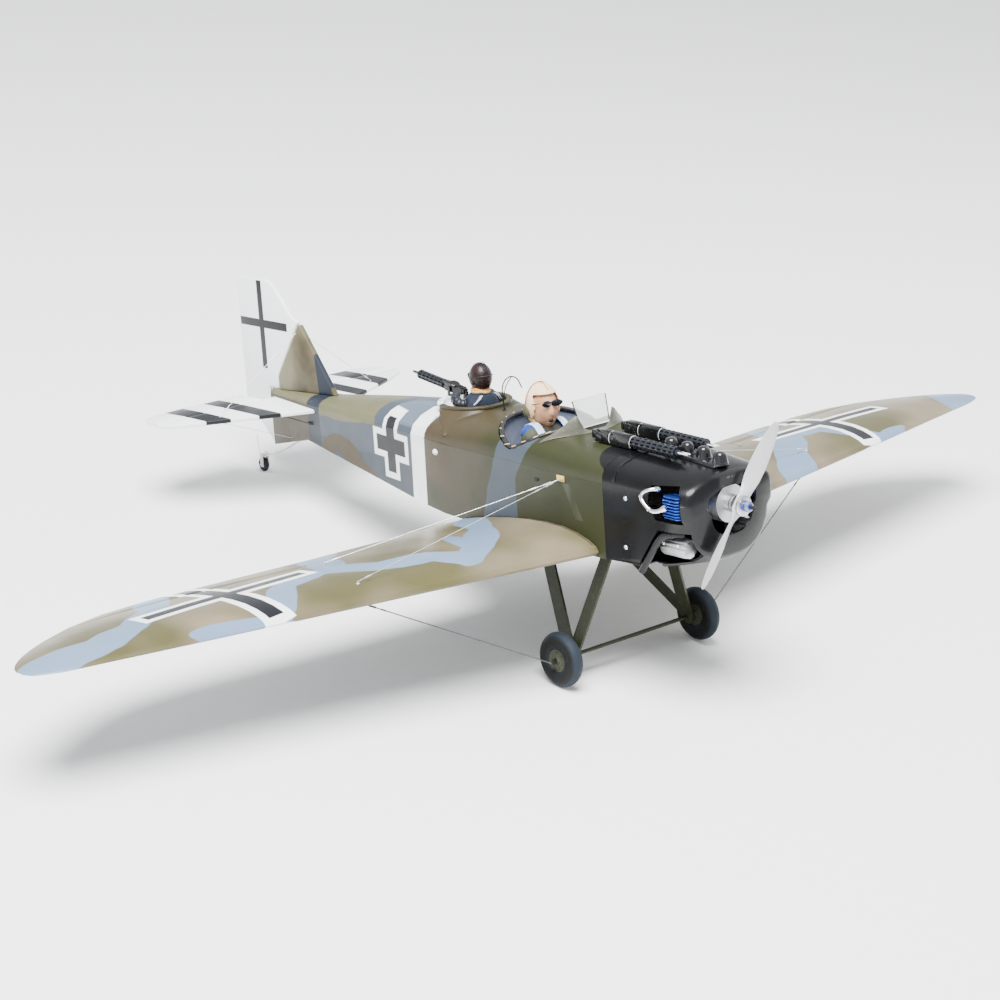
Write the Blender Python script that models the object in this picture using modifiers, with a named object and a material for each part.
"""Giant-scale radio-controlled warbird: a low-wing two-seat monoplane on a fixed tail-dragger gear.

Every piece is drawn in the aircraft's own frame, in metres: x to port, y aft, z up, with the
origin on the thrust line.  The whole model hangs from one empty that tips it back onto its
tail wheel and sets it on the ground, centred over the world origin.
"""
import bpy
import bmesh
from math import atan2, copysign, cos, hypot, pi, radians, sin, sqrt
from mathutils import Matrix, Vector

# ---------------------------------------------------------------- driving dimensions
GAP = 0.0003                    # air left between two pieces that touch
WALL = 0.003                    # skin of the hull, hatch, deck and cowl

HULL_FRONT = -0.468
HATCH_REAR = 0.066
HULL_REAR = 0.731
HALF_WIDTH = 0.125              # slab sides at the wing
TAIL_HALF_WIDTH = 0.012

HINGE_PLAY = 0.0008             # slot between a control surface and what it hangs on
WING_ROOT_X = HALF_WIDTH + GAP
AILERON_IN, AILERON_OUT = 0.560, 1.010
AILERON_HINGE = ((0.560, -0.1165), (1.010, -0.0590))    # (x, y) at the two ends
AILERON_SIDE_GAP = 0.0015
AILERON_STATIONS = (AILERON_IN, 0.64, 0.70, 0.78, 0.85, 0.90, 0.95, AILERON_OUT)

WING_TUBE = (-0.330, -0.0905)   # (y, z) of the joiner tube
WING_TUBE_R = 0.010
WING_TUBE_END = 0.42

STAB_Z = 0.0155
STAB_THICK = 0.009
ELEVATOR_HINGE_Y = 0.7208
ELEVATOR_IN = 0.046
RUDDER_HINGE_Y = 0.7410
RUDDER_THICK = 0.012

WHEEL = (0.181, -0.388, -0.312)
WHEEL_R = 0.0535
WHEEL_HALF = 0.0155
RIM_R = 0.0225
AXLE_R = 0.004
AXLE_HALF = 0.207
LEG_FRONT_TOP = (0.075, -0.420)
LEG_REAR_TOP = (0.060, -0.215)
LEG_FOOT_X = 0.1545
LEG_WIDTH = 0.029
LEG_THICK = 0.0055

TAIL_PIVOT_Y = 0.787
TAIL_WHEEL = (0.0, 0.798, -0.1485)
TAIL_WHEEL_R = 0.0165

PROP_Y = -0.6985
PROP_R = 0.170
PROP_HALF_THICK = 0.0070
SHAFT_R = 0.0045

CYLINDER_Y, CYLINDER_Z = -0.630, 0.008
HEAD_IN, HEAD_OUT = 0.070, 0.113

COCKPIT_Y = -0.205              # middle of the pilot's opening
COCKPIT_RX, COCKPIT_RY = 0.1225, 0.096
COAMING_R = 0.0060
RING_Y = 0.038                  # middle of the gunner's ring
RING_Z = 0.0945
RING_HOLE_R = 0.0635
RING_R = 0.0745

GUN_X = 0.0375
REAR_GUN_PIVOT = (0.0, 0.1065, 0.1165)
REAR_GUN_TILT = radians(8)      # muzzle up from the thrust line, as it is carried

COLOURS = {                     # base colour, roughness, metallic
    "camouflage_olive": ((0.17, 0.16, 0.09), 0.55, 0.0),
    "camouflage_wing": ((0.36, 0.33, 0.20), 0.5, 0.0),
    "white_surface": ((0.85, 0.87, 0.90), 0.45, 0.0),
    "cowl_black": ((0.018, 0.019, 0.022), 0.35, 0.1),
    "plywood": ((0.55, 0.38, 0.20), 0.7, 0.0),
    "cast_aluminium": ((0.62, 0.63, 0.64), 0.4, 0.9),
    "blue_anodised": ((0.04, 0.09, 0.45), 0.3, 0.8),
    "chrome": ((0.85, 0.85, 0.86), 0.12, 1.0),
    "exhaust_black": ((0.02, 0.02, 0.02), 0.4, 0.3),
    "gun_black": ((0.012, 0.012, 0.014), 0.35, 0.2),
    "propeller_grey": ((0.60, 0.60, 0.60), 0.4, 0.0),
    "clear_glazing": ((0.92, 0.95, 0.96), 0.05, 0.0),
    "dull_metal": ((0.30, 0.31, 0.29), 0.4, 0.8),
    "padded_black": ((0.02, 0.02, 0.025), 0.6, 0.0),
    "jacket_blue": ((0.04, 0.07, 0.18), 0.7, 0.0),
    "figure_skin": ((0.70, 0.42, 0.28), 0.55, 0.0),
    "jacket_black": ((0.02, 0.025, 0.035), 0.45, 0.0),
    "leather_brown": ((0.06, 0.02, 0.015), 0.3, 0.0),
    "wire_steel": ((0.75, 0.75, 0.76), 0.3, 0.9),
    "strut_olive": ((0.07, 0.075, 0.03), 0.5, 0.0),
    "tyre_black": ((0.02, 0.022, 0.028), 0.8, 0.0),
    "hub_khaki": ((0.33, 0.32, 0.21), 0.6, 0.0),
    "tank_plastic": ((0.85, 0.82, 0.72), 0.4, 0.0),
    "battery_wrap": ((0.10, 0.10, 0.12), 0.4, 0.0),
    "cable_black": ((0.01, 0.01, 0.01), 0.5, 0.0),
}


# ---------------------------------------------------------------- scene, collections, materials
def clear_scene():
    for old in list(bpy.data.objects):
        bpy.data.objects.remove(old, do_unlink=True)


def new_collection(name):
    collection = bpy.data.collections.new(name)
    bpy.context.scene.collection.children.link(collection)
    return collection


def material(name):
    found = bpy.data.materials.get(name)
    if found:
        return found
    colour, roughness, metallic = COLOURS[name]
    made = bpy.data.materials.new(name)
    made.use_nodes = True
    shader = made.node_tree.nodes["Principled BSDF"]
    shader.inputs["Base Color"].default_value = (*colour, 1.0)
    shader.inputs["Roughness"].default_value = roughness
    shader.inputs["Metallic"].default_value = metallic
    if name == "clear_glazing":
        shader.inputs["Alpha"].default_value = 0.35
    made.diffuse_color = (*colour, 1.0)
    return made


def pivot(name, place, turn=(0.0, 0.0, 0.0)):
    """An empty on a joint's axis.  Its children keep the aircraft frame's coordinates."""
    empty = bpy.data.objects.new(name, None)
    empty.empty_display_size = 0.03
    empty.location = place
    empty.rotation_euler = turn
    empty.parent = bpy.data.objects.get("aircraft")
    MODEL.objects.link(empty)
    return empty


def hang(piece, joint=None):
    """Parents a piece to the aircraft, or to its joint's empty, where it already lies."""
    if joint is None:
        piece.parent = AIRCRAFT
    else:
        piece.parent = joint
        piece.location = piece.location - joint.location
    return piece


def add_mesh(name, bm, colour=None, smooth=None):
    """Turns a bmesh into an object: a part where it has a colour, else a cutter or helper."""
    bmesh.ops.recalc_face_normals(bm, faces=bm.faces)
    mesh = bpy.data.meshes.new(name)
    bm.to_mesh(mesh)
    bm.free()
    piece = bpy.data.objects.new(name, mesh)
    if colour:
        MODEL.objects.link(piece)
        mesh.materials.append(material(colour))
        piece.parent = AIRCRAFT
    else:
        CUTTERS.objects.link(piece)
        piece.parent = AIRCRAFT
        piece.hide_render = True
        piece.display_type = "WIRE"
    if smooth is not None:
        mesh.shade_smooth()
        mesh.set_sharp_from_angle(angle=radians(smooth))
    return piece


# ---------------------------------------------------------------- shape helpers
def along(table, at):
    """The value at a station of a table of (station, value), joined by straight lines."""
    if at <= table[0][0]:
        return table[0][1]
    for (here, value), (there, target) in zip(table, table[1:]):
        if at <= there:
            return value + (target - value) * (at - here) / (there - here)
    return table[-1][1]


def loft(name, rings, colour=None, smooth=None, closed=False):
    """Skins a list of rings of equal count; the ends are capped, or joined where closed."""
    bm = bmesh.new()
    rows = [[bm.verts.new(point) for point in ring] for ring in rings]
    count = len(rows[0])
    pairs = list(zip(rows, rows[1:]))
    if closed:
        pairs.append((rows[-1], rows[0]))
    for first, second in pairs:
        for i in range(count):
            j = (i + 1) % count
            bm.faces.new((first[i], first[j], second[j], second[i]))
    if closed:
        bmesh.ops.triangulate(bm, faces=bm.faces[:])
    else:
        bm.faces.new(rows[0])
        bm.faces.new(list(reversed(rows[-1])))
    return add_mesh(name, bm, colour, smooth)


def box(name, size, place, colour=None, turn=(0.0, 0.0, 0.0), bevel=0.0):
    bm = bmesh.new()
    bmesh.ops.create_cube(bm, size=1.0)
    bmesh.ops.scale(bm, vec=size, verts=bm.verts)
    if bevel:
        bmesh.ops.bevel(bm, geom=bm.edges, offset=bevel, segments=2, affect="EDGES", profile=0.5)
    piece = add_mesh(name, bm, colour)
    piece.location = place
    piece.rotation_euler = turn
    return piece


AXIS_TURN = {"x": (0.0, pi / 2, 0.0), "y": (-pi / 2, 0.0, 0.0), "z": (0.0, 0.0, 0.0)}


def rod(name, radius, length, place, axis, colour=None, segments=24, end_radius=None):
    bm = bmesh.new()
    bmesh.ops.create_cone(bm, cap_ends=True, segments=segments, radius1=radius,
                          radius2=radius if end_radius is None else end_radius, depth=length)
    piece = add_mesh(name, bm, colour, 40 if colour else None)
    piece.location = place
    piece.rotation_euler = AXIS_TURN[axis]
    return piece


def turned(name, profile, place, axis, colour, steps=32):
    """A solid of revolution: (radius, height) pairs from the top down, turned about the axis."""
    bm = bmesh.new()
    points = [bm.verts.new((radius, 0.0, height)) for radius, height in profile]
    for first, second in zip(points, points[1:]):
        bm.edges.new((first, second))
    if profile[0][0] > 0.0:
        bm.edges.new((points[-1], points[0]))
    mesh = bpy.data.meshes.new(name)
    bm.to_mesh(mesh)
    bm.free()
    piece = bpy.data.objects.new(name, mesh)
    MODEL.objects.link(piece)
    mesh.materials.append(material(colour))
    screw = piece.modifiers.new("turn", "SCREW")
    screw.axis = "Z"
    screw.steps = steps
    screw.render_steps = steps
    screw.use_merge_vertices = True
    screw.merge_threshold = 0.00001
    screw.use_smooth_shade = True
    piece.location = place
    piece.rotation_euler = AXIS_TURN[axis]
    piece.parent = AIRCRAFT
    return piece


def plate(name, outline, thickness, flat_axis, colour=None, bevel=0.0, offset=0.0):
    """A flat outline extruded both ways; flat_axis says which coordinate is its thickness."""
    place = {
        "x": lambda a, b, h: (h, a, b),
        "y": lambda a, b, h: (a, h, b),
        "z": lambda a, b, h: (a, b, h),
    }[flat_axis]
    half = thickness / 2
    rings = [[place(a, b, offset + side * half) for a, b in outline] for side in (-1, 1)]
    piece = loft(name, rings, colour)
    if bevel:
        edge = piece.modifiers.new("edge", "BEVEL")
        edge.width = bevel
        edge.segments = 2
        edge.limit_method = "ANGLE"
        edge.angle_limit = radians(50)
    return piece


def smooth_route(points, per_span):
    """A Catmull-Rom curve through hand-placed points."""
    ends = [points[0] * 2 - points[1]] + points + [points[-1] * 2 - points[-2]]
    route = []
    for a, b, c, d in zip(ends, ends[1:], ends[2:], ends[3:]):
        for step in range(per_span):
            t = step / per_span
            route.append(0.5 * (2 * b + (c - a) * t + (2 * a - 5 * b + 4 * c - d) * t * t
                                + (3 * b - a - 3 * c + d) * t ** 3))
    return route + [points[-1]]


def wire(name, points, radius, colour, cyclic=False, resolution=2):
    curve = bpy.data.curves.new(name, "CURVE")
    curve.dimensions = "3D"
    curve.bevel_depth = radius
    curve.bevel_resolution = resolution
    curve.use_fill_caps = not cyclic
    spline = curve.splines.new("POLY")
    spline.points.add(len(points) - 1)
    for slot, point in zip(spline.points, points):
        slot.co = (*point, 1.0)
    spline.use_cyclic_u = cyclic
    curve.materials.append(material(colour))
    piece = bpy.data.objects.new(name, curve)
    MODEL.objects.link(piece)
    piece.parent = AIRCRAFT
    return piece


def combine(piece, tool, operation):
    step = piece.modifiers.new(operation.lower() + "_" + tool.name, "BOOLEAN")
    step.operation = operation
    step.object = tool
    step.solver = "EXACT"
    return piece


def cut(piece, *tools):
    for tool in tools:
        combine(piece, tool, "DIFFERENCE")


def join(piece, *tools):
    for tool in tools:
        combine(piece, tool, "UNION")


def round_solid(name, radii, place, colour, turn=(0.0, 0.0, 0.0), segments=16):
    bm = bmesh.new()
    bmesh.ops.create_uvsphere(bm, u_segments=segments, v_segments=segments // 2 + 2, radius=1.0)
    bmesh.ops.scale(bm, vec=radii, verts=bm.verts)
    piece = add_mesh(name, bm, colour, 80 if colour else None)
    piece.location = place
    piece.rotation_euler = turn
    return piece


# ---------------------------------------------------------------- fuselage lines
SEAM = [(-0.69, 0.024), (-0.47, 0.030), (0.06, 0.040), (0.55, 0.027), (0.731, 0.0245)]
DECK_TOP = [(-0.47, 0.0780), (-0.37, 0.0795), (-0.33, 0.0875), (-0.29, 0.0930), (-0.10, 0.095),
            (0.03, 0.089), (0.157, 0.079), (0.31, 0.066), (0.50, 0.0465), (0.731, 0.0335)]
# Power of the deck's section: 2 is a half ellipse, and more fills out its shoulders.
FULLNESS = [(-0.68, 2.2), (-0.47, 3.0), (-0.10, 3.0), (0.03, 2.0)]
BOTTOM = [(-0.468, -0.115), (-0.05, -0.106), (0.073, -0.100), (0.57, -0.053), (0.731, -0.091)]
DECK_FACETS = [radians(a) for a in (0, 22, 44, 66, 114, 136, 158, 180)]


def half_width(y):
    return HALF_WIDTH + (TAIL_HALF_WIDTH - HALF_WIDTH) * max(y, 0.0) / HULL_REAR


def arch_ring(y, width, foot, top, angles):
    """Points over the deck from port to starboard, on an arch standing on the seam."""
    power = 2 / along(FULLNESS, y)
    return [(copysign(width * abs(cos(a)) ** power, cos(a)), y,
             foot + (top - foot) * abs(sin(a)) ** power) for a in angles]


def deck_surface(x, y):
    foot = along(SEAM, y)
    reach = min(abs(x) / half_width(y), 1.0)
    power = along(FULLNESS, y)
    return foot + (along(DECK_TOP, y) - foot) * (1.0 - reach ** power) ** (1 / power)


def deck_shell(name, stations, angles, colour, smooth=None, top_scale=1.0):
    """An arched skin of even thickness over the given stations."""
    rings = []
    for y in stations:
        width, foot, top = half_width(y), along(SEAM, y) + GAP, along(DECK_TOP, y)
        top = foot + (top - foot) * top_scale
        skin = min(WALL, width * 0.3)
        outer = arch_ring(y, width, foot, top, angles)
        inner = arch_ring(y, width - skin, foot, top - skin, list(reversed(angles)))
        rings.append(outer + inner)
    return loft(name, rings, colour, smooth)


def make_hull():
    """The slab-sided tub: straight sides and floor, open at the top along the hatch seam."""
    rings = []
    for y in (HULL_FRONT, -0.05, 0.0, 0.073, 0.30, 0.57, 0.66, HULL_REAR):
        width, seam, floor = half_width(y), along(SEAM, y), along(BOTTOM, y)
        inside = width - min(WALL, width * 0.35)
        rings.append([(-width, y, seam), (-width, y, floor), (width, y, floor), (width, y, seam),
                      (inside, y, seam), (inside, y, floor + WALL), (-inside, y, floor + WALL),
                      (-inside, y, seam)])
    hull = loft("fuselage_hull", rings, "camouflage_olive")
    slot = box("stabiliser_slot", (0.2, 0.187, STAB_THICK + 2 * GAP),
               (0.0, ELEVATOR_HINGE_Y - 0.0047 - 0.0935, STAB_Z))
    tube_hole = rod("tube_hole", WING_TUBE_R + GAP, 0.3, (0.0, *WING_TUBE), "x")
    cut(hull, slot, tube_hole)
    return hull


def make_ring_fairing():
    """The cone under the gunner's ring; it overhangs the front of the rear deck."""
    bm = bmesh.new()
    for i in range(32):
        a = 2 * pi * i / 32
        bm.verts.new((RING_R * cos(a), RING_Y + RING_R * sin(a), RING_Z))
    for side in (-1, 1):
        bm.verts.new((side * (HALF_WIDTH - 0.0012), -0.008, 0.056))
    for x, y in ((0.0, -0.044), (0.030, 0.117), (-0.030, 0.117)):
        bm.verts.new((x, y, 0.078))
    hull_shape = bmesh.ops.convex_hull(bm, input=bm.verts)
    bmesh.ops.delete(bm, geom=list(set(hull_shape["geom_interior"])), context="VERTS")
    fairing = add_mesh("ring_fairing", bm)

    rings = []
    for y in (HATCH_REAR - GAP, 0.157):
        width, foot = half_width(y) + 2 * GAP, along(SEAM, y)
        top = foot + (along(DECK_TOP, y) + 2 * GAP - foot) / sin(DECK_FACETS[3])
        rings.append(arch_ring(y, width, foot, top, DECK_FACETS) + [(-width, y, 0.0), (width, y, 0.0)])
    cut(fairing, loft("deck_clearance", rings))
    return fairing


def make_hatch():
    """Lift-off top with both cockpit openings, its floor, bulkheads and the ring's fairing."""
    angles = [pi * i / 16 for i in range(17)]
    stations = (HULL_FRONT, -0.37, -0.33, -0.29, -0.10, -0.035, 0.03, HATCH_REAR - GAP)
    hatch = deck_shell("top_hatch", stations, angles, "camouflage_olive", 40)

    def bulkhead(name, y):
        width, foot = half_width(y), along(SEAM, y)
        ring = arch_ring(y, width - 0.0015, foot + 0.004, along(DECK_TOP, y) - 0.0015, angles)
        low = [(-width + 0.006, y, foot + 0.002), (-0.104, y, 0.0), (0.104, y, 0.0),
               (width - 0.006, y, foot + 0.002)]
        outline = [(x, z) for x, _, z in ring + low]
        return plate(name, outline, WALL, "y", offset=y)

    floor = box("hatch_floor", (0.208, 0.411, WALL), (0.0, -0.1515, 0.0))
    join(hatch, bulkhead("hatch_front_former", -0.357), bulkhead("hatch_middle_former", -0.100),
         bulkhead("hatch_rear_former", 0.054), floor)

    trim = box("hatch_rear_trim", (0.4, 0.05, 0.4), (0.0, HATCH_REAR - GAP + 0.025, 0.05))
    cut(hatch, trim)
    join(hatch, make_ring_fairing())

    ring_hole = rod("ring_hole", RING_HOLE_R, 0.09, (0.0, RING_Y, 0.055), "z", segments=32)
    opening = []
    for z in (0.012, 0.14):
        opening.append([(COCKPIT_RX * cos(a), COCKPIT_Y + COCKPIT_RY * sin(a), z)
                        for a in (2 * pi * i / 36 for i in range(36))])
    cockpit_hole = loft("cockpit_hole", opening)
    cut(hatch, ring_hole, cockpit_hole)
    return hatch


def make_rear_deck():
    """The facetted turtle deck from the hatch back to the sternpost."""
    stations = (HATCH_REAR, 0.157, 0.31, 0.50, 0.66, HULL_REAR)
    return deck_shell("rear_deck", stations, DECK_FACETS, "camouflage_olive",
                      top_scale=1.0 / sin(DECK_FACETS[3]))


# ---------------------------------------------------------------- cowl and engine
COWL_TOP = [(-0.70, 0.054), (-0.68, 0.0600), (-0.656, 0.0660), (-0.61, 0.0705), (-0.566, 0.0730),
            (-0.52, 0.0755), (-0.47, 0.0780)]
COWL_WIDTH = [(-0.68, 0.094), (-0.655, 0.103), (-0.62, 0.110), (-0.55, 0.119), (-0.47, 0.125)]
COWL_BOTTOM = [(-0.68, -0.098), (-0.66, -0.107), (-0.60, -0.117), (-0.55, -0.121),
               (-0.51, -0.117), (-0.47, -0.115)]
COWL_CORNER = [(-0.68, 0.085), (-0.64, 0.070), (-0.60, 0.045), (-0.55, 0.022), (-0.47, 0.004)]


def cowl_ring(y, inset=0.0):
    """One closed section: arched top, flat sides with a cylinder blister, rounded floor."""
    width, top = along(COWL_WIDTH, y) - inset, along(COWL_TOP, y) - inset
    floor, corner = along(COWL_BOTTOM, y) + inset, along(COWL_CORNER, y)
    seam = along(SEAM, y)
    blister = 0.014 * max(0.0, 1.0 - ((y + 0.652) / 0.050) ** 2)
    points = arch_ring(y, width, seam, top, [pi * i / 12 for i in range(13)])
    side = []
    corner_top = floor + corner
    for share in (0.25, 0.5, 0.75):
        z = seam + (corner_top - seam) * share
        side.append((width + blister * max(0.0, 1.0 - ((z - 0.012) / 0.050) ** 2), z))
    for i in range(6):
        a = (pi / 2) * i / 5
        side.append((width - corner + corner * cos(a), floor + corner * (1 - sin(a))))
    foot = [(-x, y, z) for x, z in side]
    rest = [(x, y, z) for x, z in reversed(side)]
    for i in (0, 1, 2, 10, 11, 12):
        x, _, z = points[i]
        swell = blister * max(0.0, 1.0 - ((z - 0.012) / 0.050) ** 2)
        points[i] = (x + (swell if x > 0 else -swell), y, z)
    return points + foot + rest


def shrunk(ring, y, factor):
    return [(x * factor, y, z * factor) for x, _, z in ring]


def make_cowl():
    stations = (-0.4685, -0.51, -0.55, -0.585, -0.61, -0.632, -0.652, -0.667)
    lip = cowl_ring(-0.667)
    inner_lip = cowl_ring(-0.665, WALL)
    outer = [cowl_ring(y) for y in stations]
    outer += [shrunk(lip, -0.676, 0.955), shrunk(lip, -0.680, 0.88), shrunk(lip, -0.680, 0.55)]
    inner = [shrunk(inner_lip, -0.676, 0.55), shrunk(inner_lip, -0.676, 0.86)]
    inner += [cowl_ring(y, WALL) for y in reversed(stations[:-1])]
    cowl = loft("engine_cowl", outer + inner, "cowl_black", 35, closed=True)
    for side, word in ((-1, "starboard"), (1, "port")):
        window = plate("cylinder_window_" + word,
                       [(-0.5950, -0.0205), (-0.5780, 0.0115), (-0.5860, 0.0435), (-0.6475, 0.0485),
                        (-0.6605, 0.0310), (-0.6605, -0.0205)], 0.06, "x", offset=side * 0.120)
        gap = plate("muffler_gap_" + word,
                    [(-0.5325, -0.1350), (-0.5975, -0.0395), (-0.6680, -0.0395), (-0.6680, -0.0900),
                     (-0.6500, -0.1010), (-0.5900, -0.1080), (-0.5720, -0.1350)],
                    0.072, "x", offset=side * 0.103)
        cut(cowl, window, gap)
    return cowl


def make_engine():
    firewall = box("firewall", (2 * (HALF_WIDTH - WALL - GAP), 0.006, 0.136),
                   (0.0, HULL_FRONT + 0.0035, -0.043), "plywood", bevel=0.0015)
    cut(firewall, rod("fuel_line_hole", 0.006, 0.03, (0.045, HULL_FRONT, -0.06), "y"))

    crankcase = rod("crankcase", 0.036, 0.080, (0.0, -0.635, 0.0), "y", "cast_aluminium", 28)
    nose = rod("crank_nose", 0.017, 0.020, (0.0, -0.6745, 0.0), "y")
    back = box("crank_back_plate", (0.078, 0.012, 0.078), (0.0, -0.592, 0.0))
    join(crankcase, nose, back)
    for x in (-0.031, 0.031):
        for z in (-0.031, 0.031):
            length = 0.595 + HULL_FRONT - 0.0002
            centre = -0.595 + length / 2
            join(crankcase, rod("stand_off", 0.0055, length, (x, centre, z), "y", segments=12))

    for side, word in ((-1, "starboard"), (1, "port")):
        make_cylinder(side, word)


def make_cylinder(side, word):
    """Finned head pointing out sideways, its plug cap, its muffler and the tail pipe."""
    fins, pitch = 8, 0.0056
    outline = []
    low = CYLINDER_Z - fins * pitch / 2
    for i in range(fins):
        z = low + i * pitch
        outline += [(HEAD_OUT, z), (HEAD_OUT, z + pitch * 0.5), (HEAD_IN + 0.014, z + pitch * 0.5),
                    (HEAD_IN + 0.014, z + pitch)]
    outline[-1] = (HEAD_IN, outline[-2][1])
    outline[-2] = (HEAD_OUT, outline[-2][1])
    outline.append((HEAD_IN, low))
    tidy = [outline[0]]
    for point in outline[1:]:
        if point != tidy[-1]:
            tidy.append(point)
    rings = [[(side * x, CYLINDER_Y + end * 0.022, z) for x, z in tidy] for end in (-1, 1)]
    head = loft("cylinder_" + word, rings, "blue_anodised")
    barrel = rod("barrel_" + word, 0.0175, 0.040, (side * 0.0565, CYLINDER_Y, CYLINDER_Z), "x")
    join(head, barrel)

    route = [Vector(p) for p in ((0.1185, -0.6230, 0.0075), (0.1245, -0.6130, 0.0020),
                                 (0.1290, -0.6000, 0.0020), (0.1300, -0.5860, 0.0110),
                                 (0.1290, -0.5760, 0.0215), (0.1260, -0.5775, 0.0310),
                                 (0.1205, -0.5880, 0.0370), (0.1130, -0.5955, 0.0380),
                                 (0.1060, -0.5990, 0.0375))]
    route = [Vector((side * p.x, p.y, p.z)) for p in smooth_route(route, 3)]
    wire("plug_cap_" + word, route, 0.0043, "chrome")

    ribs = 12
    muffler_r = 0.0185
    rings = []
    for y, grow in ((-0.583, 0.62), (-0.5875, 0.95), (-0.591, 1.0), (-0.645, 1.0),
                    (-0.651, 0.93), (-0.654, 0.6)):
        ring = []
        for i in range(2 * ribs):
            a = pi * i / ribs
            reach = muffler_r * grow * (1.0 if i % 2 else 0.93)
            ring.append((side * 0.083 + reach * cos(a), y, -0.0735 + reach * sin(a)))
        rings.append(ring)
    loft("muffler_" + word, rings, "cast_aluminium")

    route = [Vector(p) for p in ((0.086, -0.640, -0.0465), (0.0965, -0.6300, -0.0455),
                                 (0.1065, -0.6080, -0.0500), (0.1085, -0.5920, -0.0640),
                                 (0.1095, -0.5750, -0.0880), (0.1105, -0.5580, -0.1120),
                                 (0.1110, -0.5480, -0.1270))]
    route = [Vector((side * p.x, p.y, p.z)) for p in smooth_route(route, 3)]
    wire("exhaust_pipe_" + word, route, 0.0066, "exhaust_black")


def make_top_cover():
    """The raised strip along the cowl's ridge with its row of round valve covers."""
    rings = []
    for y in (-0.508, -0.52, -0.566, -0.61, -0.656):
        z = along(COWL_TOP, y)
        low = z + 0.0006
        high = z + 0.0055
        rings.append([(-0.021, y, low), (-0.018, y, high), (0.018, y, high), (0.021, y, low)])
    cover = loft("valve_cover", rings, "gun_black")
    for y in (-0.5270, -0.5690, -0.6110, -0.6530):
        z = along(COWL_TOP, y) + 0.0155
        join(cover, rod("valve_dome", 0.0158, 0.024, (0.0, y, z), "z", end_radius=0.0125,
                        segments=20))
    return cover


def make_forward_gun(side, word):
    """A dummy fixed gun lying on the deck and cowl: receiver, cooling jacket and muzzle."""
    x = side * GUN_X
    slope = 0.0312

    def height(y):
        return 0.0924 + slope * (y + 0.4165)

    gun = box("forward_gun_" + word, (0.021, 0.098, 0.0250), (x, -0.4165, height(-0.4165)),
              "gun_black", (slope, 0.0, 0.0), bevel=0.002)
    grip = box("gun_grip_" + word, (0.012, 0.014, 0.016), (x, -0.3630, height(-0.3630)))
    jacket = rod("gun_jacket_" + word, 0.0120, 0.120, (x, -0.5205, height(-0.5205)), "y")
    jacket.rotation_euler = (-pi / 2 + slope, 0.0, 0.0)
    muzzle = rod("gun_muzzle_" + word, 0.0068, 0.032, (x, -0.5950, height(-0.5950)), "y", segments=16)
    muzzle.rotation_euler = (-pi / 2 + slope, 0.0, 0.0)
    join(gun, grip, jacket, muzzle)


# ---------------------------------------------------------------- propeller
def make_propeller(joint):
    stations = [-1.0, -0.985, -0.94, -0.82, -0.65, -0.48, -0.32, -0.2, -0.13, -0.07, 0.0]
    stations += [-s for s in reversed(stations[:-1])]
    chord = [(0.0, 0.0150), (0.07, 0.0150), (0.13, 0.0118), (0.2, 0.0125), (0.32, 0.0160),
             (0.48, 0.0175), (0.65, 0.0165), (0.82, 0.0135), (0.94, 0.0090), (0.985, 0.0052),
             (1.0, 0.0018)]
    thick = [(0.0, PROP_HALF_THICK), (0.07, PROP_HALF_THICK), (0.13, 0.0064), (0.2, 0.0045),
             (0.32, 0.0030), (0.65, 0.0018), (1.0, 0.0006)]
    pitch = [(0.0, 0.0), (0.07, 0.0), (0.13, 20.0), (0.2, 38.0), (0.32, 31.0), (0.48, 24.0),
             (0.65, 19.0), (0.82, 15.0), (1.0, 12.0)]
    rings = []
    for s in stations:
        reach = abs(s)
        twist = radians(along(pitch, reach)) * (1 if s > 0 else -1)
        c, t = along(chord, reach), along(thick, reach)
        ring = []
        for i in range(14):
            a = 2 * pi * i / 14
            ring.append((s * PROP_R, c * cos(a) * sin(twist) + t * sin(a) * cos(twist),
                         c * cos(a) * cos(twist) - t * sin(a) * sin(twist)))
        rings.append(ring)
    blades = loft("propeller", rings, "propeller_grey", 50)
    blades.location = (0.0, PROP_Y, 0.0)
    blades.rotation_euler = (0.0, radians(-52), 0.0)
    bore = rod("propeller_bore", SHAFT_R + GAP, 0.05, (0.0, PROP_Y, 0.0), "y", segments=16)
    cut(blades, bore)
    hang(blades, joint)

    front, back = PROP_HALF_THICK + GAP, -PROP_HALF_THICK - GAP
    profile = [(0.0, 0.0415), (0.0030, 0.0405), (0.0034, 0.0395), (0.0034, 0.0265),
               (0.0085, 0.0265), (0.0098, 0.0250), (0.0098, front + 0.0055),
               (0.0180, front + 0.0050), (0.0195, front + 0.0040), (0.0195, front),
               (SHAFT_R, front), (SHAFT_R, back), (0.0170, back), (0.0170, back - 0.0045),
               (0.0, back - 0.0045)]
    hub = turned("propeller_hub", profile, (0.0, PROP_Y, 0.0), "y", "cast_aluminium", 18)
    hub.rotation_euler = (pi / 2, 0.0, 0.0)
    hang(hub, joint)


# ---------------------------------------------------------------- wings
LEADING = [(0.125, -0.4490), (1.100, -0.2686), (1.160, -0.2590), (1.200, -0.2450),
           (1.218, -0.2310), (1.225, -0.2100)]
TRAILING = [(0.125, -0.0600), (0.300, -0.0560), (0.500, -0.0460), (0.700, -0.0310),
            (0.850, -0.0215), (0.950, -0.0270), (1.030, -0.0480), (1.100, -0.0800),
            (1.160, -0.1170), (1.200, -0.1530), (1.218, -0.1790), (1.225, -0.2000)]
THICKNESS = [(0.125, 0.115), (0.85, 0.105), (1.03, 0.095), (1.16, 0.085), (1.225, 0.06)]
CHORD_LINE_Z = [(0.125, -0.104), (1.225, -0.100)]
CAMBER, CAMBER_AT = 0.034, 0.38


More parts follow.
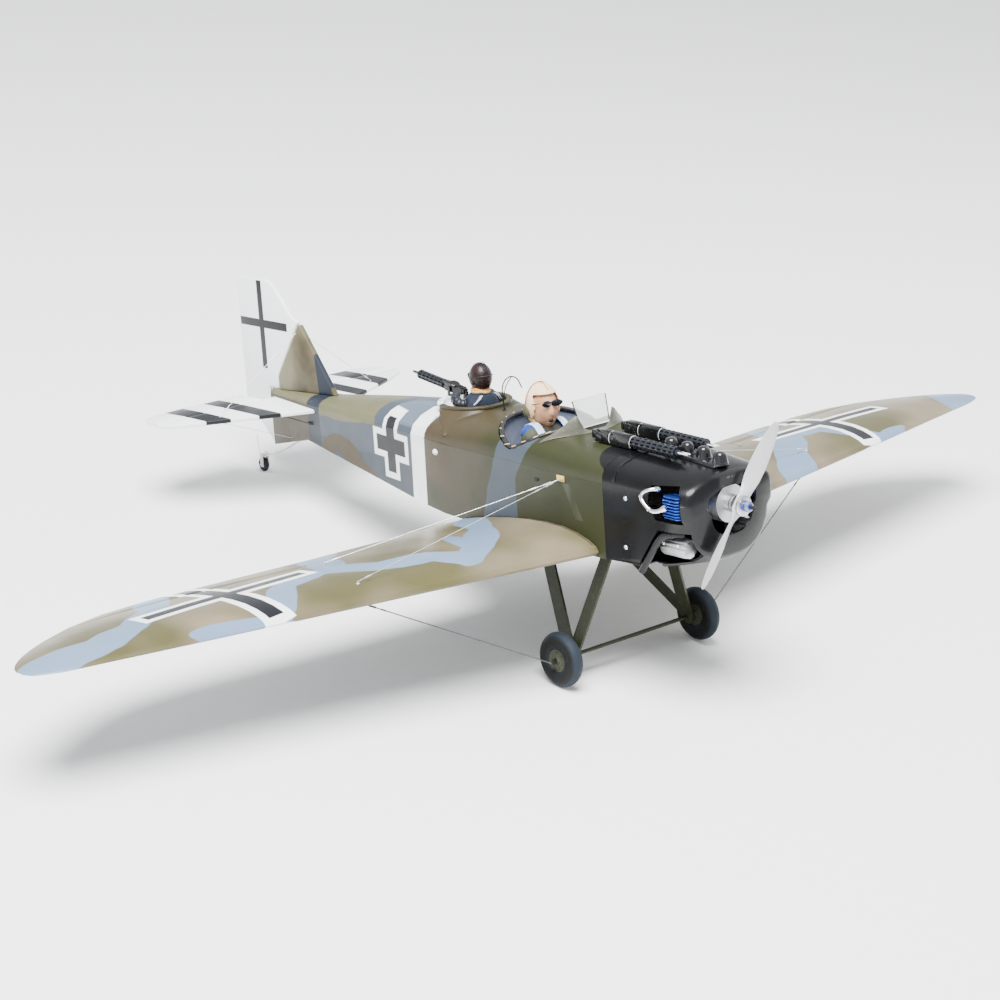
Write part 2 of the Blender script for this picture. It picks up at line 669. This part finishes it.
def wing_surface(x, t):
    """Height of the upper and lower skin at chord fraction t of the section at x."""
    front, rear = along(LEADING, x), along(TRAILING, x)
    chord = rear - front
    thick = along(THICKNESS, x)
    half = 5 * thick * (0.2969 * sqrt(t) - 0.1260 * t - 0.3516 * t ** 2 + 0.2843 * t ** 3
                        - 0.1036 * t ** 4) * chord
    if t < CAMBER_AT:
        rise = CAMBER / CAMBER_AT ** 2 * (2 * CAMBER_AT * t - t * t)
    else:
        rise = CAMBER / (1 - CAMBER_AT) ** 2 * (1 - 2 * CAMBER_AT + 2 * CAMBER_AT * t - t * t)
    middle = along(CHORD_LINE_Z, x) + rise * chord
    edge = 0.0006 * t
    return middle + half + edge, middle - half - edge


def wing_ring(x, side, count=13):
    front, rear = along(LEADING, x), along(TRAILING, x)
    upper, lower = [], []
    for i in range(count):
        t = 0.5 * (1 - cos(pi * i / (count - 1)))
        top, bottom = wing_surface(x, t)
        y = front + (rear - front) * t
        upper.append((side * x, y, top))
        lower.append((side * x, y, bottom))
    return upper[1:] + list(reversed(lower[1:])) + [upper[0]]


def hinge_point(x):
    (x0, y0), (x1, y1) = AILERON_HINGE
    ends = []
    for at, y in ((x0, y0), (x1, y1)):
        t = (y - along(LEADING, at)) / (along(TRAILING, at) - along(LEADING, at))
        top, bottom = wing_surface(at, t)
        ends.append((y, (top + bottom) / 2))
    share = (x - x0) / (x1 - x0)
    return [a + (b - a) * share for a, b in zip(*ends)]


def aileron_ring(x, side, grow=0.0):
    """The tail of the wing section behind the hinge, with a round nose on the hinge axis."""
    hinge_y, hinge_z = hinge_point(x)
    front, rear = along(LEADING, x), along(TRAILING, x)
    chord = rear - front
    start = (hinge_y - front) / chord
    top, bottom = wing_surface(x, start)
    nose = (top - bottom) / 2 * 0.94
    ring = []
    for i in range(7):
        a = pi / 2 + pi * i / 6
        ring.append((side * x, hinge_y + nose * cos(a), hinge_z + nose * sin(a)))
    for i in range(4):
        t = start + (1 - start) * (i + 1) / 4
        ring.append((side * x, front + chord * t, wing_surface(x, t)[1]))
    for i in range(4):
        t = start + (1 - start) * (4 - i) / 4
        ring.append((side * x, front + chord * t, wing_surface(x, t)[0]))
    return ring


def aileron_cutter(word, side):
    """What the aileron leaves free in the wing: a flat-fronted bay a little larger than it."""
    rings = []
    for x in AILERON_STATIONS:
        y, z = hinge_point(x)
        start = (y - along(LEADING, x)) / (along(TRAILING, x) - along(LEADING, x))
        top, bottom = wing_surface(x, start)
        front = y - (top - bottom) / 2 * 0.94 - HINGE_PLAY
        place = x
        if x == AILERON_IN:
            place -= AILERON_SIDE_GAP
        if x == AILERON_OUT:
            place += AILERON_SIDE_GAP
        rings.append([(side * place, front, z - 0.08), (side * place, front, z + 0.08),
                      (side * place, front + 0.25, z + 0.08),
                      (side * place, front + 0.25, z - 0.08)])
    return loft("aileron_bay_" + word, rings)


def make_wing(side, word):
    stations = (WING_ROOT_X, 0.30, 0.50, 0.70, 0.85, 0.95, 1.03, 1.07, 1.11, 1.14, 1.17, 1.19,
                1.205, 1.216, 1.2225)
    wing = loft("wing_" + word, [wing_ring(x, side) for x in stations], "camouflage_wing", 30)
    bore = rod("tube_bore_" + word, WING_TUBE_R + GAP, WING_TUBE_END,
               (side * (WING_TUBE_END / 2 + 2 * GAP), *WING_TUBE), "x")
    cut(wing, aileron_cutter(word, side), bore)

    y0, z0 = hinge_point(AILERON_IN)
    joint = pivot("aileron_hinge_" + word, (side * AILERON_IN, y0, z0))
    aileron = loft("aileron_" + word, [aileron_ring(x, side) for x in AILERON_STATIONS],
                   "camouflage_wing", 30)
    hang(aileron, joint)


# ---------------------------------------------------------------- tail
def outline_arc(centre, radii, start, end, count):
    return [(centre[0] + radii[0] * cos(radians(start + (end - start) * i / count)),
             centre[1] + radii[1] * sin(radians(start + (end - start) * i / count)))
            for i in range(count + 1)]


def make_stabiliser(joint):
    rear = ELEVATOR_HINGE_Y - STAB_THICK / 2 - HINGE_PLAY
    half = [(0.0, 0.530), (0.036, 0.5305), (0.270, 0.6550)]
    half += outline_arc((0.262, rear), (0.063, 0.053), 62, 0, 5)[1:]
    half = [p if i < 3 else (p[0], 2 * rear - p[1]) for i, p in enumerate(half)]
    outline = half + [(-x, y) for x, y in reversed(half[1:])]
    plate("stabiliser", outline, STAB_THICK, "z", "white_surface", 0.0025, offset=STAB_Z)

    for side, word in ((-1, "starboard"), (1, "port")):
        rings = []
        for x in (ELEVATOR_IN, 0.09, 0.14, 0.20, 0.255, 0.285, 0.305, 0.318):
            round_off = 0.728 + 0.074 * sqrt(max(0.0, 1 - ((x - 0.262) / 0.063) ** 2))
            back = 0.804 if x < 0.25 else min(round_off, 0.804)
            ring = []
            nose = STAB_THICK / 2
            for i in range(7):
                a = pi / 2 + pi * i / 6
                ring.append((side * x, ELEVATOR_HINGE_Y + nose * cos(a), STAB_Z + nose * sin(a)))
            ring += [(side * x, back - 0.004, STAB_Z - 0.0022), (side * x, back, STAB_Z - 0.0010),
                     (side * x, back, STAB_Z + 0.0010), (side * x, back - 0.004, STAB_Z + 0.0022)]
            rings.append(ring)
        half_elevator = loft("elevator_" + word, rings, "white_surface", 40)
        hang(half_elevator, joint)


def make_fin_and_rudder(joint):
    foot = [(0.501, along(DECK_TOP, 0.501) + GAP), (0.7045, along(DECK_TOP, 0.7045) + GAP)]
    outline = [foot[0], foot[1], (0.7045, 0.0640), (0.6160, 0.1885), (0.6120, 0.1885)]
    plate("fin", outline, 0.0125, "x", "camouflage_olive", 0.0022)

    slope = Vector((0.0885, -0.1245)).normalized()
    away = Vector((-slope.y, slope.x)) * 0.003
    top = Vector((0.6160, 0.1885)) + away
    low = Vector((0.7045, 0.0640)) + away
    front = RUDDER_HINGE_Y - RUDDER_THICK / 2
    outline = [(front, -0.0870), (0.7440, -0.0880), (0.7870, -0.0460), (0.8340, 0.0010),
               (0.8335, 0.1500), (0.8310, 0.2700), (0.8270, 0.2745), (0.7300, 0.2785), (0.7080, 0.2720),
               (0.6810, 0.2480), (0.6420, 0.2030), (top.x, top.y + 0.003),
               (low.x, low.y), (low.x, 0.0375), (front, 0.0375)]
    rudder = plate("rudder", outline, RUDDER_THICK, "x", "white_surface", 0.0052)
    hang(rudder, joint)


def make_tail_gear(steer, spin):
    line = [(0.590, -0.0585), (0.655, -0.0738), (0.700, -0.0960), (0.752, -0.1180),
            (0.772, -0.1225), (0.799, -0.1230)]
    thick = 0.0022
    outline = [(y, z - GAP) for y, z in line] + [(y, z - GAP - thick) for y, z in reversed(line)]
    spring = plate("tail_spring", outline, 0.012, "x", "dull_metal")
    cut(spring, rod("tail_pivot_hole", 0.0023, 0.03, (0.0, TAIL_PIVOT_Y, -0.1235), "z", segments=16))

    top, foot = -0.1262, TAIL_WHEEL[2] - 0.0045
    outer, inner, roof = 0.0092, 0.0068, 0.0022
    outline = [(-outer, foot), (-outer, top), (outer, top), (outer, foot), (inner, foot),
               (inner, top - roof), (-inner, top - roof), (-inner, foot)]
    fork = plate("tail_fork", outline, 0.009, "y", "dull_metal", offset=TAIL_WHEEL[1] - 0.004)
    crown = box("fork_crown", (0.0184, 0.018, roof), (0.0, TAIL_PIVOT_Y + 0.003, top - roof / 2))
    pin = rod("fork_pin", 0.0019, 0.012, (0.0, TAIL_PIVOT_Y, top + 0.0035), "z", segments=16)
    join(fork, crown, pin)
    hang(fork, steer)

    r, half = TAIL_WHEEL_R, 0.0048
    profile = [(0.0, 0.0062), (0.0035, 0.0062), (0.0035, 0.0040), (0.0090, half - 0.0006),
               (r - 0.004, half), (r - 0.001, half * 0.62), (r, 0.0012), (r, -0.0012),
               (r - 0.001, -half * 0.62), (r - 0.004, -half), (0.0090, -half + 0.0006),
               (0.0035, -0.0040), (0.0035, -0.0062), (0.0, -0.0062)]
    wheel = turned("tail_wheel", profile, TAIL_WHEEL, "x", "tyre_black", 14)
    wheel.parent = spin
    wheel.location = (0.0, 0.0, 0.0)


# ---------------------------------------------------------------- main gear
def leg_outline(length):
    """A strap in its own plane: square at the top, round at the foot, the axle's centre at 0."""
    half = LEG_WIDTH / 2
    outline = [(half, length), (-half, length)]
    for i in range(9):
        a = pi + pi * i / 8
        outline.append((half * cos(a), half * sin(a)))
    return outline


def make_leg(name, side, top_xy, push):
    """A flat strap from the hull's belly down to the axle, in the plane of its V."""
    foot = Vector((side * LEG_FOOT_X, WHEEL[1], WHEEL[2]))
    front = Vector((side * LEG_FRONT_TOP[0], LEG_FRONT_TOP[1], along(BOTTOM, LEG_FRONT_TOP[1])))
    rear = Vector((side * LEG_REAR_TOP[0], LEG_REAR_TOP[1], along(BOTTOM, LEG_REAR_TOP[1])))
    normal = (front - foot).cross(rear - foot).normalized()
    if normal.x * side < 0:
        normal = -normal
    target = Vector((side * top_xy[0], top_xy[1], along(BOTTOM, top_xy[1])))
    run = (target - foot).normalized()
    across = normal.cross(run)
    length = (target - foot).length + 0.02
    rings = []
    for level in (-0.5, 0.5):
        shift = normal * (push + level * LEG_THICK)
        rings.append([foot + shift + across * a + run * b for a, b in leg_outline(length)])
    leg = loft(name, rings, "strut_olive")
    slope = atan2(along(BOTTOM, -0.05) - along(BOTTOM, HULL_FRONT), -0.05 - HULL_FRONT)
    trim = box(name + "_trim", (0.4, 0.9, 0.1), (0.0, -0.26, along(BOTTOM, -0.26) - GAP + 0.05),
               turn=(slope, 0.0, 0.0))
    bore = rod(name + "_bore", AXLE_R + GAP, 0.10, foot, "x", segments=20)
    cut(leg, trim, bore)
    return leg


def make_main_gear():
    for side, word in ((-1, "starboard"), (1, "port")):
        make_leg("gear_leg_front_" + word, side, LEG_FRONT_TOP, -LEG_THICK / 2 - GAP / 2)
        make_leg("gear_leg_rear_" + word, side, LEG_REAR_TOP, LEG_THICK / 2 + GAP / 2)
    rod("axle", AXLE_R, 2 * AXLE_HALF, (0.0, WHEEL[1], WHEEL[2]), "x", "strut_olive", 20)

    for side, word in ((-1, "starboard"), (1, "port")):
        place = (side * WHEEL[0], WHEEL[1], WHEEL[2])
        joint = pivot("wheel_axis_" + word, place)
        r, half = WHEEL_R, WHEEL_HALF
        bead = RIM_R + GAP
        tyre = [(bead, 0.0105), (bead + 0.004, 0.0135), (r - 0.016, half), (r - 0.008, half * 0.9),
                (r - 0.0028, half * 0.62), (r - 0.0006, half * 0.3), (r, 0.0)]
        tyre += [(radius, -height) for radius, height in reversed(tyre[:-1])]
        bore = AXLE_R + GAP
        hub = [(bore, 0.0150), (0.0080, 0.0150), (0.0095, 0.0115), (0.0185, 0.0100),
               (RIM_R, 0.0112), (RIM_R, -0.0112), (0.0185, -0.0100), (0.0095, -0.0115),
               (0.0080, -0.0150), (bore, -0.0150)]
        for name, profile, colour in (("tyre_", tyre, "tyre_black"), ("wheel_hub_", hub, "hub_khaki")):
            piece = turned(name + word, profile, (0.0, 0.0, 0.0), "x", colour, 20)
            piece.parent = joint


# ---------------------------------------------------------------- crew, glazing and rear gun
def make_coaming():
    """Padded edge of the pilot's opening, lying just inside the cut."""
    route = []
    count = 30
    for i in range(count):
        a = 2 * pi * i / count
        reach_x, reach_y = COCKPIT_RX - COAMING_R - 0.0012, COCKPIT_RY - COAMING_R - 0.0012
        x, y = COCKPIT_RX * cos(a), COCKPIT_Y + COCKPIT_RY * sin(a)
        z = deck_surface(x, y) + 0.001
        route.append((reach_x * cos(a), COCKPIT_Y + reach_y * sin(a), z))
    return wire("cockpit_coaming", route, COAMING_R, "padded_black", cyclic=True, resolution=2)


def make_windscreen():
    """A low metal fairing across the deck and the clear pane that stands behind it."""
    height = [(0.0, 0.0020), (0.25, 0.0035), (0.417, 0.0340), (0.50, 0.0335), (0.667, 0.0180),
              (1.0, 0.0020)]
    rings = []
    count = 24
    for i in range(count + 1):
        s = 2 * i / count - 1
        x, y = 0.108 * s, -0.3280 + 0.048 * s * s
        floor = deck_surface(x, y + 0.0022) + 0.0006 + 0.0010 * abs(s)
        rise = along(height, abs(s))
        rings.append([(x, y, floor), (x, y, floor + rise), (x, y + 0.0022, floor + rise),
                      (x, y + 0.0022, floor)])
    loft("windscreen_fairing", rings, "dull_metal", 40)

    low, high = (0.0375, -0.3190, 0.0960), (0.0430, -0.3045, 0.1490)
    rings = []
    for x, y, z in (low, high):
        rings.append([(-x, y, z), (x, y, z), (x, y + 0.0016, z), (-x, y + 0.0016, z)])
    loft("windscreen_pane", rings, "clear_glazing")


def make_crew():
    torso = round_solid("pilot_torso", (0.062, 0.041, 0.058), (0.0, -0.175, 0.026), "jacket_blue")
    cut(torso, box("pilot_trim", (0.3, 0.3, 0.1), (0.0, -0.175, 0.0022 - 0.05)))
    head = round_solid("pilot_head", (0.0375, 0.0410, 0.0500), (0.0, -0.1710, 0.1120),
                       "figure_skin")
    cut(head, round_solid("pilot_collar", (0.0625, 0.0415, 0.0585), (0.0, -0.175, 0.026), None))

    torso = round_solid("gunner_torso", (0.046, 0.034, 0.062), (0.0, 0.020, 0.058), "jacket_black")
    cut(torso, box("gunner_trim", (0.3, 0.3, 0.1), (0.0, 0.0, 0.0022 - 0.05)))
    head = round_solid("gunner_head", (0.0240, 0.0270, 0.0310), (0.0, 0.0165, 0.1475), "leather_brown")
    cut(head, round_solid("gunner_collar", (0.0465, 0.0345, 0.0625), (0.0, 0.020, 0.058), None))

    route = [Vector(p) for p in ((-0.012, -0.067, 0.0965), (-0.012, -0.0635, 0.1225),
                                 (-0.012, -0.0650, 0.1405), (-0.013, -0.0760, 0.1560),
                                 (-0.014, -0.0950, 0.1660), (-0.016, -0.1160, 0.1640),
                                 (-0.019, -0.1320, 0.1490))]
    wire("intercom_wire", smooth_route(route, 3), 0.0010, "cable_black")


def make_gunner_ring():
    z0, z1 = RING_Z + GAP, RING_Z + 0.0050
    profile = [(RING_HOLE_R, z1 - 0.001), (RING_HOLE_R + 0.001, z1), (RING_R + 0.0005, z1),
               (RING_R + 0.0015, z1 - 0.001), (RING_R + 0.0015, z0), (RING_HOLE_R, z0)]
    ring = turned("gunner_ring", profile, (0.0, RING_Y, 0.0), "z", "camouflage_olive", 32)
    return ring


def make_rear_gun(yaw, pitch):
    x, y, z = REAR_GUN_PIVOT
    base = RING_Z + 0.0050 + GAP
    mount = turned("gun_mount", [(0.0, z - 0.0155), (0.0030, z - 0.0155), (0.0034, base + 0.0028),
                                 (0.0052, base + 0.0022), (0.0052, base), (0.0, base)],
                   (x, y, 0.0), "z", "gun_black", 20)
    fork = plate("gun_mount_fork", [(-0.0115, z - 0.0165), (0.0115, z - 0.0165), (0.0115, z + 0.003),
                                    (0.0093, z + 0.003), (0.0093, z - 0.0145), (-0.0093, z - 0.0145),
                                    (-0.0093, z + 0.003), (-0.0115, z + 0.003)], 0.007, "y", offset=0.0)
    fork.location = (0.0, y, 0.0)
    join(mount, fork)
    hang(mount, yaw)

    gun = box("rear_gun", (0.0150, 0.062, 0.020), (x, y - 0.006, z), "gun_black", bevel=0.0015)
    jacket = rod("rear_jacket", 0.0098, 0.078, (x, y + 0.063, z), "y", segments=20)
    tip = rod("rear_muzzle", 0.0060, 0.014, (x, y + 0.108, z), "y", segments=16, end_radius=0.0032)
    barrel = rod("rear_barrel", 0.0026, 0.012, (x, y + 0.120, z), "y", segments=12)
    grip = box("rear_grip", (0.006, 0.010, 0.020), (x, y - 0.036, z - 0.006))
    join(gun, jacket, tip, barrel, grip)
    gun.parent = pitch
    gun.location = (0.0, -0.006, 0.0)
    for helper in (jacket, tip, barrel, grip):
        helper.parent = pitch
        helper.location = helper.location - Vector(REAR_GUN_PIVOT)


# ---------------------------------------------------------------- rigging, controls and inside
def make_rigging():
    for side, word in ((-1, "starboard"), (1, "port")):
        t_front = wing_surface(0.584, 0.16)[0]
        front = Vector((side * 0.584, along(LEADING, 0.584) + 0.16 * 0.33, t_front + 0.0030))
        t_rear = wing_surface(0.545, 0.62)[0]
        rear = Vector((side * 0.545, along(LEADING, 0.545) + 0.62 * 0.33, t_rear + 0.0030))
        ear = Vector((side * (HALF_WIDTH + 0.0035), -0.352, 0.0215))
        wire("flying_wires_" + word, [front, ear, rear], 0.0008, "wire_steel")

        low = wing_surface(0.584, 0.16)[1]
        top = Vector((side * 0.584, along(LEADING, 0.584) + 0.16 * 0.33, low - 0.0021))
        bottom = Vector((side * (AXLE_HALF + 0.0020), WHEEL[1], WHEEL[2]))
        wire("lower_wire_" + word, [bottom, top], 0.0014, "wire_steel")


def make_elevator_pushrod():
    start, end = Vector((-0.0465, 0.540, -0.0120)), Vector((-0.0465, 0.7120, -0.0045))
    return wire("elevator_pushrod", [start, end], 0.0012, "cable_black")


def make_inside():
    wing_tube = rod("wing_tube", WING_TUBE_R, 2 * WING_TUBE_END - 0.002, (0.0, *WING_TUBE), "x",
                    "cast_aluminium", 24)
    cut(wing_tube, rod("wing_tube_hollow", WING_TUBE_R - 0.0015, 1.0, (0.0, *WING_TUBE), "x"))
    box("fuel_tank", (0.110, 0.080, 0.066), (0.0, -0.405, -0.070), "tank_plastic", bevel=0.010)
    box("battery_pack", (0.080, 0.048, 0.030), (0.0, -0.262, -0.086), "battery_wrap", bevel=0.003)
    tray = box("radio_tray", (0.2425, 0.110, 0.003), (0.0, -0.140, -0.075), "plywood")
    for x in (-0.070, -0.020, 0.030):
        join(tray, box("servo", (0.020, 0.040, 0.038), (x, -0.140, -0.068)))
    join(tray, box("receiver", (0.030, 0.050, 0.014), (0.080, -0.140, -0.067)))


# ---------------------------------------------------------------- the whole aircraft
def stand_on_ground():
    """Tips the model back until the main and tail wheels meet the ground, and centres it."""
    main = Vector((0.0, WHEEL[1], WHEEL[2]))
    tail = Vector(TAIL_WHEEL)
    run, rise = tail.y - main.y, tail.z - main.z
    tilt = -(atan2(rise, run) - atan2(TAIL_WHEEL_R - WHEEL_R, hypot(run, rise)))
    AIRCRAFT.rotation_euler = (tilt, 0.0, 0.0)
    turn = Matrix.Rotation(tilt, 3, "X")
    AIRCRAFT.location = (0.0, 0.0, WHEEL_R - (turn @ main).z)
    bpy.context.view_layer.update()
    depsgraph = bpy.context.evaluated_depsgraph_get()
    reach = []
    for piece in MODEL.objects:
        if piece.type == "EMPTY":
            continue
        shape = piece.evaluated_get(depsgraph)
        mesh = shape.to_mesh()
        reach += [(shape.matrix_world @ vertex.co).y for vertex in mesh.vertices]
        shape.to_mesh_clear()
    AIRCRAFT.location.y = -(min(reach) + max(reach)) / 2
    bpy.context.view_layer.update()


clear_scene()
MODEL = new_collection("rc_warbird_plane")
CUTTERS = new_collection("cutters")
AIRCRAFT = bpy.data.objects.new("aircraft", None)
MODEL.objects.link(AIRCRAFT)

make_hull()
make_hatch()
make_rear_deck()
make_cowl()
make_engine()
make_top_cover()
for side_sign, side_word in ((-1, "starboard"), (1, "port")):
    make_forward_gun(side_sign, side_word)
    make_wing(side_sign, side_word)
make_propeller(pivot("propeller_axis", (0.0, PROP_Y, 0.0)))
make_stabiliser(pivot("elevator_hinge", (0.0, ELEVATOR_HINGE_Y, STAB_Z)))
make_fin_and_rudder(pivot("rudder_hinge", (0.0, RUDDER_HINGE_Y, 0.0)))
make_tail_gear(pivot("tail_steering", (0.0, TAIL_PIVOT_Y, TAIL_WHEEL[2])),
               pivot("tail_wheel_axis", TAIL_WHEEL))
make_main_gear()
make_coaming()
make_windscreen()
make_crew()
make_gunner_ring()
make_rear_gun(pivot("rear_gun_yaw", (REAR_GUN_PIVOT[0], REAR_GUN_PIVOT[1], RING_Z)),
              pivot("rear_gun_pitch", REAR_GUN_PIVOT, (REAR_GUN_TILT, 0.0, 0.0)))
make_rigging()
make_elevator_pushrod()
make_inside()
stand_on_ground()
